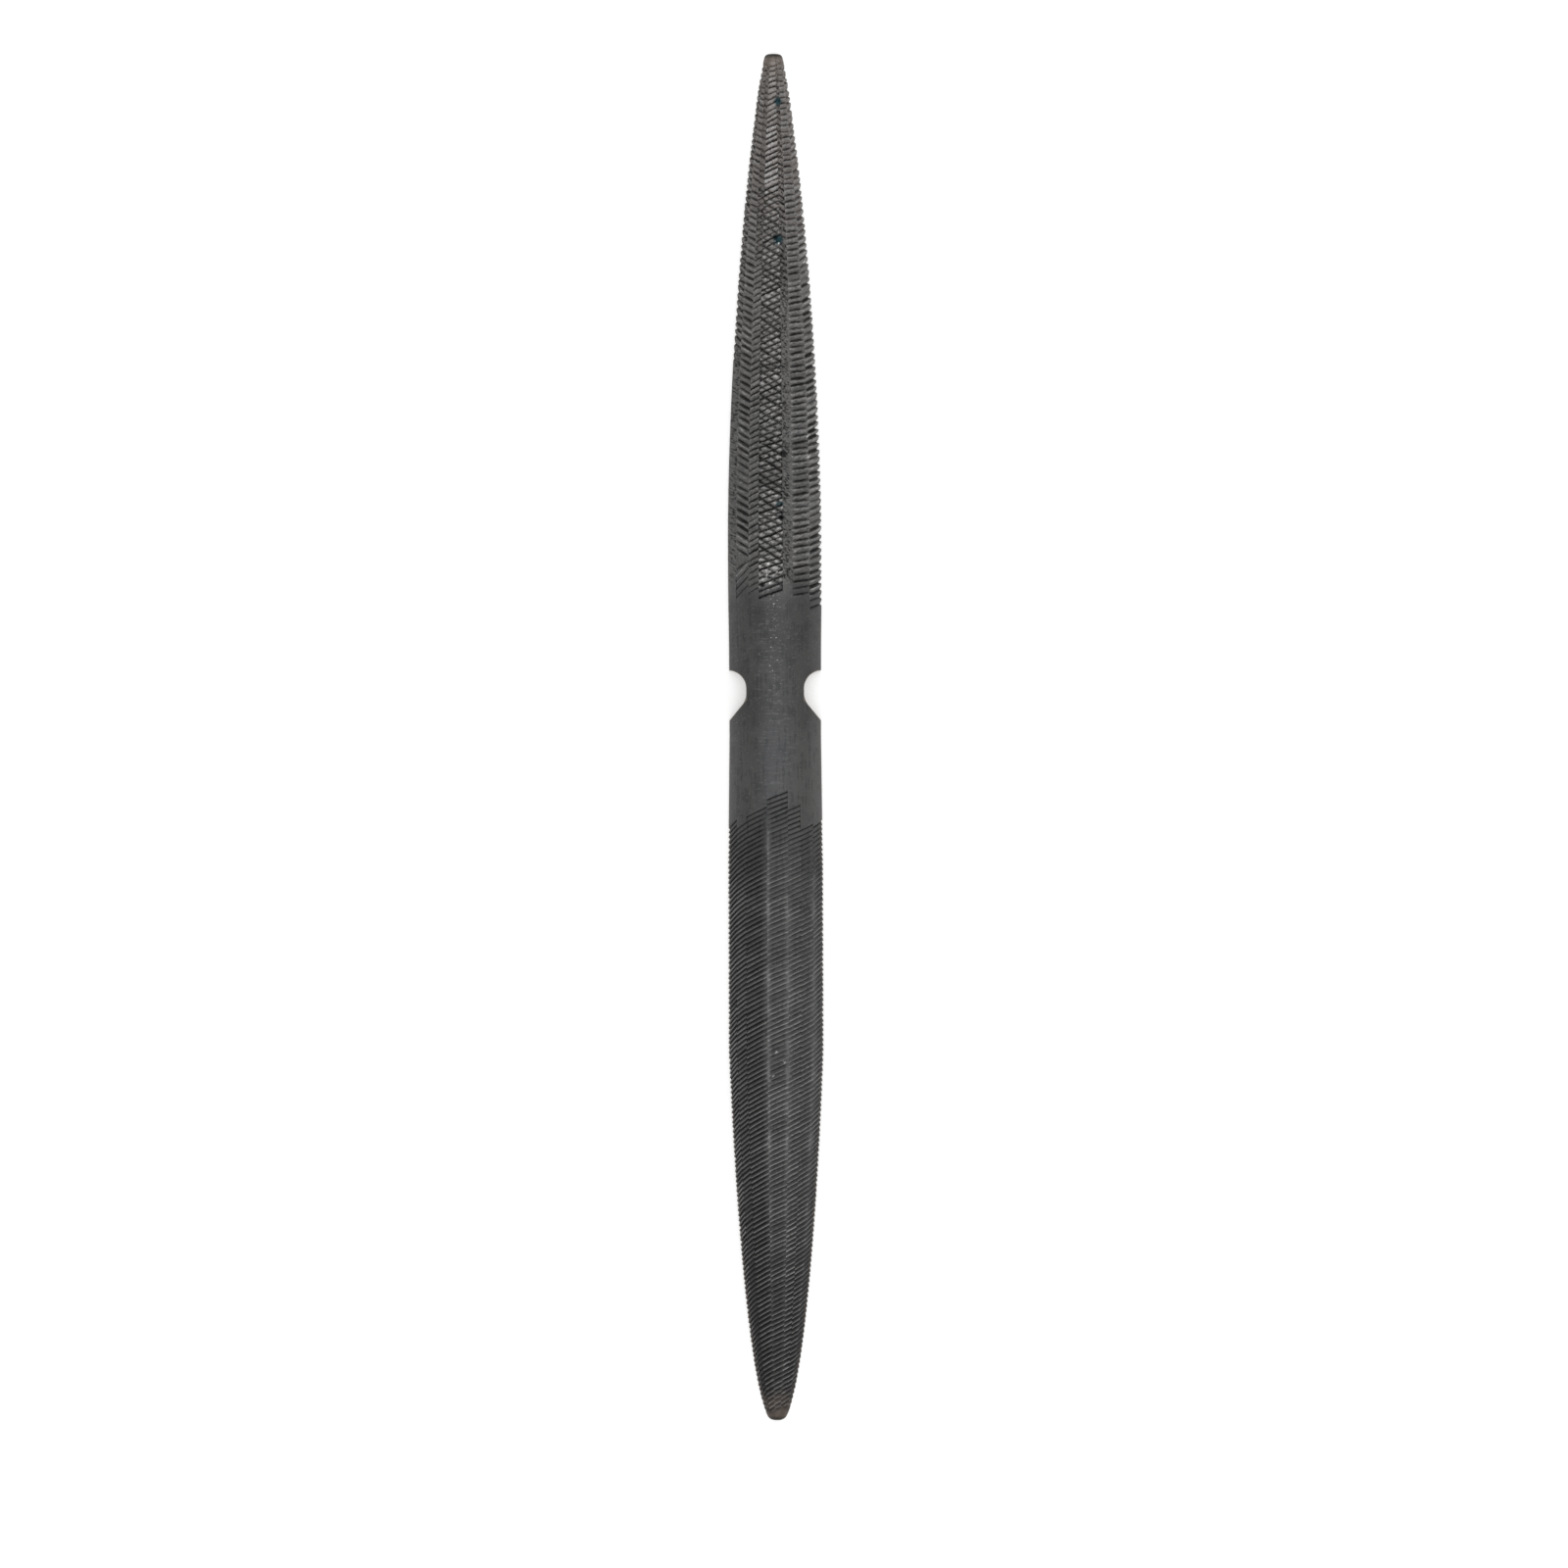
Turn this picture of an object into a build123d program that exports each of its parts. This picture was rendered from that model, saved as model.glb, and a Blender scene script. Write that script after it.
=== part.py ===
"""Double-ended half-round hand file for carving wax: one bar of hardened steel.

+Y points to the coarse end, +Z out of the crowned side, and the flat back lies on z = 0.
"""

import os
from math import cos, pi, radians, sin, sqrt
from typing import NamedTuple

from build123d import *

# The bar: a half-round section that tapers to a blunt tip at both ends.
length = 207.0
coarse_width = 13.86
waist_width = 13.74
fine_width = 14.46
thickness = 5.2
edge_land = 0.2
tip_radius = 0.5

# Each end keeps its width up to the taper's start, then narrows on a curve that would close
# a little past the tip.
coarse_taper_start = 31.0
coarse_tip_shortfall = 2.8
fine_taper_start = 42.0
fine_tip_shortfall = 0.5
coarse_taper_powers_share = (1.63, 0.69)
fine_taper_powers_share = (1.27, 0.458)

# The pair of notches in the edges of the plain waist: a quarter-round shoulder towards the
# coarse end, a short floor and a straight run-out towards the fine end.
notch_depth = 2.5
notch_radius = 2.8
notch_centre = 7.3
notch_floor_end = 5.6
notch_foot = 2.6
notch_blend = 1.5

# Saw-shaped teeth in lanes, with the steep face towards the tip of their own end.
coarse_pitch = 1.15
coarse_depth = 0.34
coarse_start = 18.4
fine_pitch = 0.763
fine_depth = 0.17
fine_start = 8.5
lane_stagger = 4.6
lane_run_in = 3.0
lane_gap = 0.16
crest_sink = 0.03
coarse_plain_tip = 4.0
fine_plain_tip = 2.0
steep_face_share = 0.22
tip_depth_share = 0.4

# How far every cutter runs past the metal.
overrun = 1.0

# Stations of the bar's surfaces, as shares of the way from the middle to each tip.
station_shares = (0.0, 0.16, 0.31, 0.45, 0.58, 0.7, 0.81, 0.9, 0.96, 1.0)


class Lane(NamedTuple):
    """One lane of teeth: its two edges as shares of the half width, its skew in degrees,
    and its delay, pitch and depth as shares of the end's own."""

    edge_shares: tuple
    skew: float
    delay_share: float
    pitch_share: float = 1.0
    depth_share: float = 1.0


# From the left edge to the right one, seen from above. A positive skew rises to the right.
coarse_lanes = (
    Lane((-1.0, -0.81), -24.0, 8.3),
    Lane((-0.81, -0.485), -27.0, 1.0),
    Lane((-0.485, -0.267), 23.0, 0.8, 0.82),
    Lane((-0.267, 0.145), -32.0, 0.65),
    Lane((-0.267, 0.145), 23.0, 0.65, 0.82, 0.8),
    Lane((0.427, 0.796), 7.0, 0.65, 0.85),
    Lane((0.796, 1.0), 14.0, 0.0, 0.93),
)
fine_lanes = (
    Lane((-0.985, -0.62), 30.0, 1.0),
    Lane((-0.62, -0.18), 25.4, 0.44),
    Lane((-0.18, 0.263), 21.5, 0.0),
    Lane((0.263, 0.796), 21.5, 0.31),
    Lane((0.796, 0.985), 21.5, 1.0),
)
coarse_back = Lane((-1.0, 1.0), 27.0, 0.65)
fine_back = Lane((-1.0, 1.0), 24.0, 0.65, 1.0, 0.5)

half_length = length / 2
full_half_width = fine_width / 2
stations = [-share * half_length for share in reversed(station_shares[1:])]
stations += [share * half_length for share in station_shares]
crown_rise = thickness - edge_land
crown_radius = (full_half_width**2 + crown_rise**2) / (2 * crown_rise)
crown_centre = thickness - crown_radius


def half_width(y):
    """Half the bar's width at y."""
    if y > 0:
        end, start, shortfall = coarse_width, coarse_taper_start, coarse_tip_shortfall
        body_power, tip_power = coarse_taper_powers_share
    else:
        end, start, shortfall = fine_width, fine_taper_start, fine_tip_shortfall
        body_power, tip_power = fine_taper_powers_share
    if abs(y) > start:
        run_share = (abs(y) - start) / (half_length + shortfall - start)
        return end / 2 * (1 - run_share**body_power) ** tip_power
    return (waist_width + (end - waist_width) * sin(pi / 2 * abs(y) / start)) / 2


def scale_at(y):
    """Size of the section at y against the fine end's full section, straight between stations."""
    before = max(station for station in stations[:-1] if station <= y)
    after = min(station for station in stations if station > before)
    rise_share = (y - before) / (after - before)
    between = half_width(before) + rise_share * (half_width(after) - half_width(before))
    return between / full_half_width


def crown_point(width_share):
    """Point on the full section's crown, at a share of the half width."""
    x = width_share * full_half_width
    return Vector(x, 0, crown_centre + sqrt(crown_radius**2 - x**2))


def comb(lane, start, pitch, depth, towards, origin, across, height, bulge):
    """Cutter that leaves one lane of teeth, on the end that points towards +Y (1) or -Y (-1).

    Its saw outline lies in the plane through origin square to across, height above the bar's
    middle line on the full section, and is drawn out along the skewed cut.
    """
    first = start + lane.delay_share * lane_stagger
    step = pitch * lane.pitch_share
    plain_tip = coarse_plain_tip if towards > 0 else fine_plain_tip
    count = int((half_length - plain_tip - first) / step)

    def crest(u):
        run_in_share = max(0.0, 1 - (u - first) / lane_run_in)
        return (height + bulge * run_in_share) * scale_at(towards * u) - crest_sink

    def gullet(u):
        fade_share = tip_depth_share + (1 - tip_depth_share) * scale_at(towards * u)
        return crest(u) - depth * lane.depth_share * fade_share

    outline = [(first, height + bulge + overrun)]
    for tooth in range(count):
        u = first + tooth * step
        outline.append((u, crest(u)))
        outline.append((u + steep_face_share * step, gullet(u + steep_face_share * step)))
    end = first + count * step
    outline.append((end, crest(end)))
    outline.append((end, height + bulge + overrun))

    cut = across * cos(radians(lane.skew)) + Vector(0, sin(radians(lane.skew)), 0)
    reach = (max(lane.edge_shares) - min(lane.edge_shares)) * full_half_width + overrun
    with BuildPart() as cutter:
        with BuildSketch(Plane(origin=origin - cut * reach, x_dir=(0, 1, 0), z_dir=across)):
            with BuildLine():
                Polyline([(towards * u, h) for u, h in outline], close=True)
            make_face()
        extrude(amount=2 * reach, dir=cut, clean=False)
    return cutter.part


def crown_comb(lane, start, pitch, depth, towards):
    """Comb for one lane of the crown, kept between the lane's own two edges."""
    left, right = (crown_point(share) for share in lane.edge_shares)
    across = (right - left).normalized()
    outwards = across.cross(Vector(0, 1, 0))
    height = left.dot(outwards)
    bulge = crown_radius + crown_centre * outwards.Z - height
    middle = across * ((left + right) * 0.5).dot(across) * scale_at(towards * half_length / 2)
    teeth = comb(lane, start, pitch, depth, towards, middle, across, height, bulge)

    gap_share = lane_gap / fine_width
    sides = [(0, 0)]
    for share, inward in zip(lane.edge_shares, (gap_share, -gap_share)):
        if abs(share) == 1:
            sides.append((share * fine_width, -edge_land))
        else:
            side = crown_point(share + inward) * 2
            sides.append((side.X, side.Z))
    with BuildPart() as cutter:
        add(teeth)
        with BuildSketch(Plane.XZ):
            with BuildLine():
                Polyline(sides, close=True)
            make_face()
        extrude(amount=length, both=True, clean=False, mode=Mode.INTERSECT)
    return cutter.part


def back_comb(lane, start, pitch, depth, towards):
    """Comb for the flat back, straight through both edges."""
    return comb(lane, start, pitch, depth, towards, Vector(0, 0, 0), Vector(-1, 0, 0), 0, 0)


combs = [crown_comb(lane, coarse_start, coarse_pitch, coarse_depth, 1) for lane in coarse_lanes]
combs += [crown_comb(lane, fine_start, fine_pitch, fine_depth, -1) for lane in fine_lanes]
combs.append(back_comb(coarse_back, coarse_start, coarse_pitch, coarse_depth, 1))
combs.append(back_comb(fine_back, fine_start, fine_pitch, fine_depth, -1))

tallest = thickness * max(scale_at(y) for y in stations)

with BuildPart() as file_blade:
    # the crown, carried on below the back and past the edges
    for y in stations:
        with BuildSketch(Plane.XZ.offset(-y)):
            base = -overrun * scale_at(y)
            side = sqrt(crown_radius**2 - (overrun + crown_centre) ** 2) * scale_at(y)
            with BuildLine():
                Line((-side, base), (side, base))
                ThreePointArc((side, base), (0, thickness * scale_at(y)), (-side, base))
            make_face()
    loft(ruled=True)

    # the outline seen from above, which cuts the edges square and the back flat
    with BuildSketch() as plan:
        with BuildLine():
            right_edge = [(half_width(y), y) for y in stations]
            left_edge = [(-half_width(y), y) for y in reversed(stations)]
            Polyline(right_edge + left_edge, close=True)
        make_face()
        fillet(plan.vertices().group_by(Axis.Y)[0], tip_radius)
        fillet(plan.vertices().group_by(Axis.Y)[-1], tip_radius)
    extrude(amount=tallest + overrun, mode=Mode.INTERSECT)

    # the pair of notches
    floor = waist_width / 2 - notch_depth
    outside = waist_width / 2 + notch_radius
    with BuildSketch() as notches:
        with BuildLine():
            Polyline((floor, notch_centre), (floor, notch_floor_end), (waist_width / 2, notch_foot),
                     (outside, notch_foot), (outside, notch_centre + notch_radius),
                     (floor + notch_radius, notch_centre + notch_radius))
            CenterArc((floor + notch_radius, notch_centre), notch_radius, 90, 90)
        make_face()
        fillet(notches.vertices().sort_by_distance((floor, notch_floor_end))[0], notch_blend)
        mirror(about=Plane.YZ)
    extrude(amount=tallest + overrun, mode=Mode.SUBTRACT)

    # the teeth
    add(combs, clean=False, mode=Mode.SUBTRACT)

file_blade.part.label = "file_blade"
os.makedirs("parts", exist_ok=True)
export_step(file_blade.part, "parts/file_blade.step", write_pcurves=False)
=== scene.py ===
"""Dresses a double-ended half-round wax file: one bar of blackened steel, coarse teeth at +Y,
fine teeth at -Y.

Metres, +Z out of the crown, the flat back on z = 0. Tables are in millimetres, as a file cutter
writes them.
"""
import bisect
import math
import random
from typing import NamedTuple

import bmesh
import bpy
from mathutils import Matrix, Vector


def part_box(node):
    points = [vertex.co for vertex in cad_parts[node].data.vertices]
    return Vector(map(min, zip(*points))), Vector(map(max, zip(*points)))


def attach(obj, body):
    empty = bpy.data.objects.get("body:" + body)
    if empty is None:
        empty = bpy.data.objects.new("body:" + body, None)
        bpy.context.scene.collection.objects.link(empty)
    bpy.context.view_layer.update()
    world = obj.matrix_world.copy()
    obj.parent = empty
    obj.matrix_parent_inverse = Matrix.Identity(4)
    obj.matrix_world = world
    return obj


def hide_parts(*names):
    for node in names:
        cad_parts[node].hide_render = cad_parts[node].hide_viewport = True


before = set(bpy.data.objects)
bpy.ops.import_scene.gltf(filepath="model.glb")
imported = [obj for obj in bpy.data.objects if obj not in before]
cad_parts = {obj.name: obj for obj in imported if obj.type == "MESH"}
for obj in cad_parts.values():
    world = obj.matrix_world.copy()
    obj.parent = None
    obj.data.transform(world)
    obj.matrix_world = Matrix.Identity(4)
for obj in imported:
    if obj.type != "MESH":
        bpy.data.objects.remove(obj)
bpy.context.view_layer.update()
low_corner, high_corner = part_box("file_blade")

bl_info = {
    "name": "Wax File",
    "version": (1, 0, 0),
    "blender": (4, 5, 0),
    "location": "View3D > Sidebar > Wax File",
    "description": "Forges, cuts and blackens a double-ended half-round file for carving wax",
    "category": "Object",
}

MM = 0.001


# ---- sizes and colours

def amount(name, default, description, unit="LENGTH"):
    return bpy.props.FloatProperty(
        name=name, description=description, default=default, unit=unit)


def tint(name, default, description):
    """A colour, written as sRGB hex."""
    return bpy.props.StringProperty(name=name, description=description, default=default)


class BarSizes(bpy.types.PropertyGroup):
    """The bar without its teeth."""

    length: amount("Length", high_corner.y - low_corner.y, "From tip to tip")
    coarse_width: amount("Coarse width", 0.01386, "Widest place of the coarse end")
    waist_width: amount("Waist width", 0.01374, "Width beside the notches")
    fine_width: amount("Fine width", 0.01441, "Widest place of the fine end")
    thickness: amount("Thickness", 0.00516, "From the back to the top of the crown")
    edge_land: amount("Edge land", 0.0002, "Height of the square edge beside the back")
    notch_radius: amount("Notch radius", 0.0028, "Round shoulder of the two notches")
    notch_depth: amount("Notch depth", 0.0025, "How far each notch goes into its edge")


class ToothSizes(bpy.types.PropertyGroup):
    """The chisel cuts."""

    coarse_depth: amount("Coarse depth", 0.00034, "Depth of the coarse cuts at full width")
    fine_depth: amount("Fine depth", 0.00017, "Depth of the fine cuts at full width")
    hand_share: bpy.props.FloatProperty(
        name="Unevenness", description="How much the cuts wander, as a share of a hand-cut file",
        default=1.0, min=0.0, max=3.0, subtype="FACTOR")


class FinishColours(bpy.types.PropertyGroup):
    """Colours of the blackened steel."""

    oxide: tint("Oxide", "#505050", "Dark oxide skin of the plain waist")
    oxide_dark: tint("Dark oxide", "#424243", "Thicker patches of the oxide skin")
    # The soot colour is painted shade in the bottoms of the cuts and in pits, besides real soot
    # there and the dark tone of uncut steel.
    soot_and_shade: tint("Soot", "#1d1c1c", "Dark bottom of the cuts")
    # The rubbed colour is real wear on crests and ridges, and in part a painted highlight on them.
    rubbed_and_highlit: tint("Rubbed", "#939291", "Skin rubbed thin along crests and lane ridges")
    rust: tint("Rust", "#776b62", "Brown bloom near the tips and edges")
    bare: tint("Bare", "#8d857c", "Warm bare metal on the ground walls of the notches")
    wax: tint("Wax", "#2b4248", "Green carving wax left in the teeth")
    grime: tint("Grime", "#363738", "Dark blotches of old oil in the skin")
    glint: tint("Glint", "#656566", "Tops of the fine grinding marks")
    cool: tint("Cool waist", "#5d5e60", "Blue grey of the waist's lower half")
    # The flank colour is a painted reflection: the curved sides of the waist made paler.
    flank_sheen: tint("Flank", "#686663", "Paler skin down both sides of the waist")
    coarse: tint("Coarse end", "#777674", "Thinner skin of the coarse end")
    coarse_tip: tint("Coarse tip", "#8b8480", "Warm worn grey towards the coarse tip")
    fine_tip: tint("Fine tip", "#2b2a2a", "Darkest skin, towards the fine tip")
    # The rim colour darkens the last half mm of each end.
    rim: tint("Rim", "#35332f", "Dark scale on the very ends")
    # The spark colour is a painted glint on rubbed points and on nicks of the waist's crest.
    painted_glint: tint("Spark", "#dcdcd8", "Bright nicks and rubbed points")


class StudioSettings(bpy.types.PropertyGroup):
    """Light, floor and camera."""

    key_power: amount("Key power", 8.0, "Power of the overhead soft box", "POWER")
    fill_power: amount("Fill power", 1.2, "Power of the side soft box", "POWER")
    world_strength: amount("World strength", 0.68, "Light of the room", "NONE")
    camera_height: amount("Camera height", 1.0, "Height of the camera above the floor")
    frame_width: amount("Frame width", 0.2372, "Width of the picture at the file")


# ---- shape of the bar

# Each end narrows from the taper's start on a curve that would close a little past the tip:
# start and shortfall in mm, then the curve's two powers.
COARSE_TAPER = (31.0, 2.8, 1.63, 0.69)
FINE_TAPER = (42.0, 0.5, 1.27, 0.458)
# mm by which the corners of the tips are rounded.
TIP_ROUND = 0.55
# mm that the coarse tip is fuller than that curve on each side, and that the whole bar is: at
# the waist, and where the chisel has thrown up its edges. Each comes in over the mm after it.
TIP_SHOULDER, TIP_SHOULDER_OVER = 0.1, (92, 98)
WAIST_FULLER, CUT_FULLER, CUT_FULLER_OVER = 0.05, 0.15, (12, 24)


def sizes():
    return bpy.context.scene.file_bar


def smooth(low, high, value):
    share = min(max((value - low) / (high - low), 0.0), 1.0)
    return share * share * (3 - 2 * share)


def blend(pair, share):
    return pair[0] + (pair[1] - pair[0]) * min(max(share, 0.0), 1.0)


def half_width(y):
    """Half the bar's width in mm at y mm, before its tips are rounded."""
    bar = sizes()
    half_length = bar.length / MM / 2
    waist, widest = bar.waist_width / MM, bar.fine_width / MM
    if y > 0:
        end, (start, shortfall, body_power, tip_power) = bar.coarse_width / MM, COARSE_TAPER
    else:
        end, (start, shortfall, body_power, tip_power) = widest, FINE_TAPER
    u = min(abs(y), half_length)
    if u > start:
        run = (u - start) / (half_length + shortfall - start)
        shoulder = TIP_SHOULDER * smooth(*TIP_SHOULDER_OVER, y)
        half = end / 2 * (1 - run**body_power) ** tip_power + shoulder
    else:
        half = (waist + (end - waist) * math.sin(math.pi / 2 * u / start)) / 2
    fuller = blend((WAIST_FULLER, CUT_FULLER), smooth(*CUT_FULLER_OVER, u))
    return min(half + fuller, widest / 2)


def rounded_half_width(y):
    """Half the bar's width in mm at y mm, with the tips' corners rounded."""
    into_tip = TIP_ROUND - (sizes().length / MM / 2 - abs(y))
    if into_tip <= 0:
        return half_width(y)
    return half_width(y) - TIP_ROUND + math.sqrt(max(TIP_ROUND**2 - into_tip**2, 0.0))


def crown():
    """Full half width, radius and centre height in mm of the full section's crown."""
    bar = sizes()
    full = bar.fine_width / MM / 2
    rise = (bar.thickness - bar.edge_land) / MM
    radius = (full**2 + rise**2) / (2 * rise)
    return full, radius, bar.thickness / MM - radius


# ---- tables of the cuts

class Lane(NamedTuple):
    """One lane of chisel cuts. Pairs run from the waist end of the lane to its tip end."""

    edges: tuple    # left and right border, as shares of the half width
    start: float    # mm from the middle of the bar
    stop: float
    pitch: tuple    # mm along the bar
    skew: tuple     # degrees, rising to the right seen from above
    depth: float    # share of that end's depth
    waver: float = 1.0  # how uneven its cuts are, against the others
    rub_and_highlight: tuple = (1.0, 1.0)     # how far its crests are rubbed and painted highlit, against the others
    narrow: float = 2.0     # how narrow the rubbed, painted highlit line along each crest is
    feather: tuple = (0.0, 0.0)     # share of its width that rises to full depth at each border
    dark: float = 1.0   # how dark its cuts are painted with shade and soot, against the others
    early: tuple = ()   # where its first cuts end, in mm, and their own skew


class End(NamedTuple):
    """How one end is cut and rubbed. Places are in mm from the middle of the bar."""

    side: int       # 1 towards +Y, -1 towards -Y
    seed: int
    lanes: tuple    # left to right, seen from above, and then the flat back
    crossings: dict     # second cuts, by the number of the lane that they cross
    uncut: tuple    # lanes whose steel is dark where no cut has reached it
    ridges: tuple   # mm between the lanes at each inner border
    rows: tuple     # where the skin's rows start, and the mm between them
    leaning: tuple  # where the rows start to lean with the cuts, and where they do fully
    shape: tuple    # a tooth from crest to crest: shares of its pitch and of its bite
    flat: float     # how much of the crown's bulge the chisel has flattened
    level: float    # how far the cuts turn level on the last mm of the tip
    wander: float   # mm by which the crests wander across their lanes
    jagged: float   # mm by which each point of a cut in the crown is jagged
    bright: tuple   # how far the crests are rubbed and painted highlit, from the least to the most
    dull: float     # mm over which a lane's first crests come to that
    broken: float   # how patchy the rubbed, highlit crests and the shaded, sooty bottoms of the cuts are
    tip_dull: float     # how much duller the crests of the tip are
    tip_dark: float     # how much darker its cuts are
    rubbed_and_highlit: tuple   # ridges rubbed and painted highlit: the border, how far it is rubbed, from where and by where
    reach: tuple    # mm from such a ridge that its teeth are wholly, and at all, spared


COARSE_LANES = (
    Lane((-1, -0.83), 56.6, 102.6, (1.15, 0.88), (-26, -22), 0.9, rub_and_highlight=(0.8, 0.8)),
    Lane((-0.83, -0.56), 21.8, 102.8, (1.24, 0.88), (-27, -24), 1.15, 0.75, (0.7, 0.8),
         feather=(0.2, 0.1), early=(26.2, 38)),
    Lane((-0.56, -0.345), 21.9, 84, (0.98, 0.9), (24, 26), 0.95, 0.9, (0.68, 0.85),
         feather=(0.1, 0.15)),
    Lane((-0.345, 0.17), 21.4, 102.8, (1, 0.82), (19, 27), 1, 1.1, (1.35, 0.8), 0.8),
    Lane((0.17, 0.38), 24, 80, (1.22, 1.05), (-33, -33), 0.2, 2.4, (0.3, 0.3)),
    Lane((0.38, 0.75), 21.4, 102.8, (1.02, 0.85), (8, 12), 1.05, 1, (0.95, 0.95),
         feather=(0.2, 0.05)),
    Lane((0.75, 1), 19.5, 102.5, (1.08, 1), (13, 24), 1.4, 1, (0.85, 0.85), dark=0.68),
    Lane((-1, 1), 21.4, 101, (1.15, 1), (27, 27), 0.8),
)
COARSE_CROSSINGS = {
    2: Lane((-0.56, -0.345), 72, 102.6, (1.05, 0.95), (-30, -28), 1.05, 1.2),
    3: Lane((-0.345, 0.17), 23.6, 84, (1.25, 1.08), (-31, -34), 1.05, 1.1, narrow=0.8),
    4: Lane((0.17, 0.38), 66, 102.6, (1.05, 0.95), (-30, -28), 1, 1.2),
}
# Here the cuts of the first three lanes, and of the fifth and sixth, meet at their borders.
FINE_LANES = (
    Lane((-1, -0.825), 12.99, 102.3, (0.763, 0.737), (31, 36), 1.4, 0.55),
    Lane((-0.825, -0.62), 13.25, 102.3, (0.763, 0.745), (29, 34), 1, 0.55, (1, 0.8)),
    Lane((-0.62, -0.18), 11.15, 102.3, (0.763, 0.755), (25.4, 30), 1, 0.55, (0.9, 1.25)),
    Lane((-0.18, 0.263), 8.7, 102.3, (0.763, 0.758), (21.5, 27), 0.7, 0.8, (0.86, 0.98)),
    Lane((0.263, 0.53), 10.6, 102.3, (0.764, 0.752), (21.5, 28), 0.72, 0.7, (0.9, 1.25)),
    Lane((0.53, 0.796), 13.55, 102.3, (0.764, 0.745), (21.5, 28), 0.72, 0.7, (0.9, 1.3)),
    Lane((0.796, 1), 13.1, 102.3, (0.763, 0.755), (21.5, 29), 1.4, 0.55),
    Lane((-1, 1), 11.5, 101, (0.763, 0.755), (24, 26), 0.7, 0.55),
)

# Share of its pitch that a tooth's steep face takes, towards the tip of its end.
STEEP = 0.24
COARSE = End(
    side=1, seed=41, lanes=COARSE_LANES, crossings=COARSE_CROSSINGS, uncut=(0, 4),
    ridges=(0.04, 0.0, 0.0, 0.06, 0.09, 0.09), rows=(17.0, 0.14), leaning=(10.5, 18.5),
    shape=((0.0, 0.0), (STEEP, 1.0), (0.44, 0.42), (0.78, 0.07), (1.0, 0.0)),
    flat=0.25, level=0.6, wander=0.05, jagged=0.032, bright=(0.5, 1.05), dull=3.0, broken=0.32,
    tip_dull=0.0, tip_dark=0.0, rubbed_and_highlit=((0.38, 0.05, 22, 30), (0.75, 0.3, 22, 30)),
    reach=(0.08, 0.5))
FINE = End(
    side=-1, seed=67, lanes=FINE_LANES, crossings={}, uncut=(),
    ridges=(0.0, 0.0, 0.06, 0.06, 0.0, 0.08), rows=(7.0, 0.19), leaning=(-2.0, 8.0),
    shape=((0.0, 0.0), (STEEP, 1.0), (0.58, 0.50), (0.88, 0.05), (1.0, 0.0)),
    flat=0.38, level=0.0, wander=0.0125, jagged=0.0, bright=(0.6, 0.85), dull=11.0, broken=0.0,
    tip_dull=0.14, tip_dark=0.4,
    rubbed_and_highlit=((-0.18, 0.55, 9, 15), (0.263, 0.53, 11, 30), (0.796, 0.56, 13, 22)),
    reach=(0.16, 0.85))

# The skin's grid, in mm: a strip of the crown to each lane, and at some borders two columns
# between the lanes.
STRIP_CELLS = (4, 5, 7, 17, 6, 7, 4)
LANE_GAP = 0.01
RIDGED, RIDGE_SIDE, RIDGE_LEAST = (2, 3, 4, 5), 0.035, 0.004
BACK_SHARES = (1.0, 0.93, 0.75, 0.5, 0.25, 0.0, -0.25, -0.5, -0.75, -0.93, -1.0)
# How far the back's outer columns stay inside the crown's bitten edge, and the share of its
# height that the outermost may reach.
BACK_INSETS, BACK_LIP = (0.05, 0.3), 0.5
WAIST_ROW_STEP = 0.6
TIP_ROW_ANGLES = (18, 36, 54, 72, 90)
# Rows to a tooth at least, rows without a crest at the tip, and rows from the outermost crests
# to plain steel.
TOOTH_ROWS, TIP_ROWS, EASED_ROWS = 3, 7, 12
# The last mm, over which the rows lean less and less, and the step of their lean's sum.
LEAN_OUT, LEAN_STEP = 2.5, 0.02

# A hand's unevenness: each cut's bite, as a share, place, as a share of its pitch, and skew in
# degrees, and the bite at each of its points.
UNEVEN_BITE, UNEVEN_PLACE, UNEVEN_SKEW, UNEVEN_POINT = 0.24, 0.065, 1.4, 0.06
WAVE_TURNS = (1.5, 5.0)
# A lane's first cuts: mm over which they run in, how much shallower and duller they are, and
# the gap in mm after its early ones.
RUN_IN, RUN_IN_SHALLOW, RUN_IN_DULL, EARLY_GAP = 3.0, 0.35, 0.6, 0.9
# Share of the depth on a bar of no width, and at the last cut; mm over which the cuts run out.
NARROW_BITE, LAST_BITE, RUN_OUT = 0.4, 0.35, 2.0
# mm that a cut bites at least, that its crests lie under the crown, and that the crown stays
# above the back.
LEAST_BITE, SUNK, LOWEST = 0.02, 0.02, 0.004
# How much deeper the cuts bite into the bar's very edges, and how much of an edge stays.
EDGE_BITE, EDGE_LEFT = 1.1, 0.6
# Where the coarse cuts turn level, and where the fine tip turns dark.
LEVEL_OVER, TIP_OVER = (95, 101), (72, 92)
# Where steel beside the coarse lanes turns dark, how dark it is, and how flecked.
UNCUT_OVER, UNCUT_SOOT, FLECKED = (21, 25), 0.62, 0.27
# How dark a cut is painted for its depth, with shade and soot in its bottom, and how much darker
# the first ones of its lane are.
DARK_FOR_DEPTH, START_DARK, START_OVER = 1.1, 0.35, (0, 8)
# A rubbed ridge, painted as a highlight too, waxes and wanes, fades towards the tip, and spares
# the teeth beside it part of their bite, their painted dark bottoms and the dark of uncut steel.
RIDGE_PATCHY, RIDGE_WAVES, RIDGE_FADE, RIDGE_FADE_OVER = 0.2, (0.9, 0.37), 0.6, (60, 95)
SPARED_BITE, SPARED_DARK, SPARED_SOOT = 0.7, 0.75, 0.5
# What is left of a cut's depth and of its dark at a feathered border.
FEATHER_BITE, FEATHER_DARK = 0.3, 0.4
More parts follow.
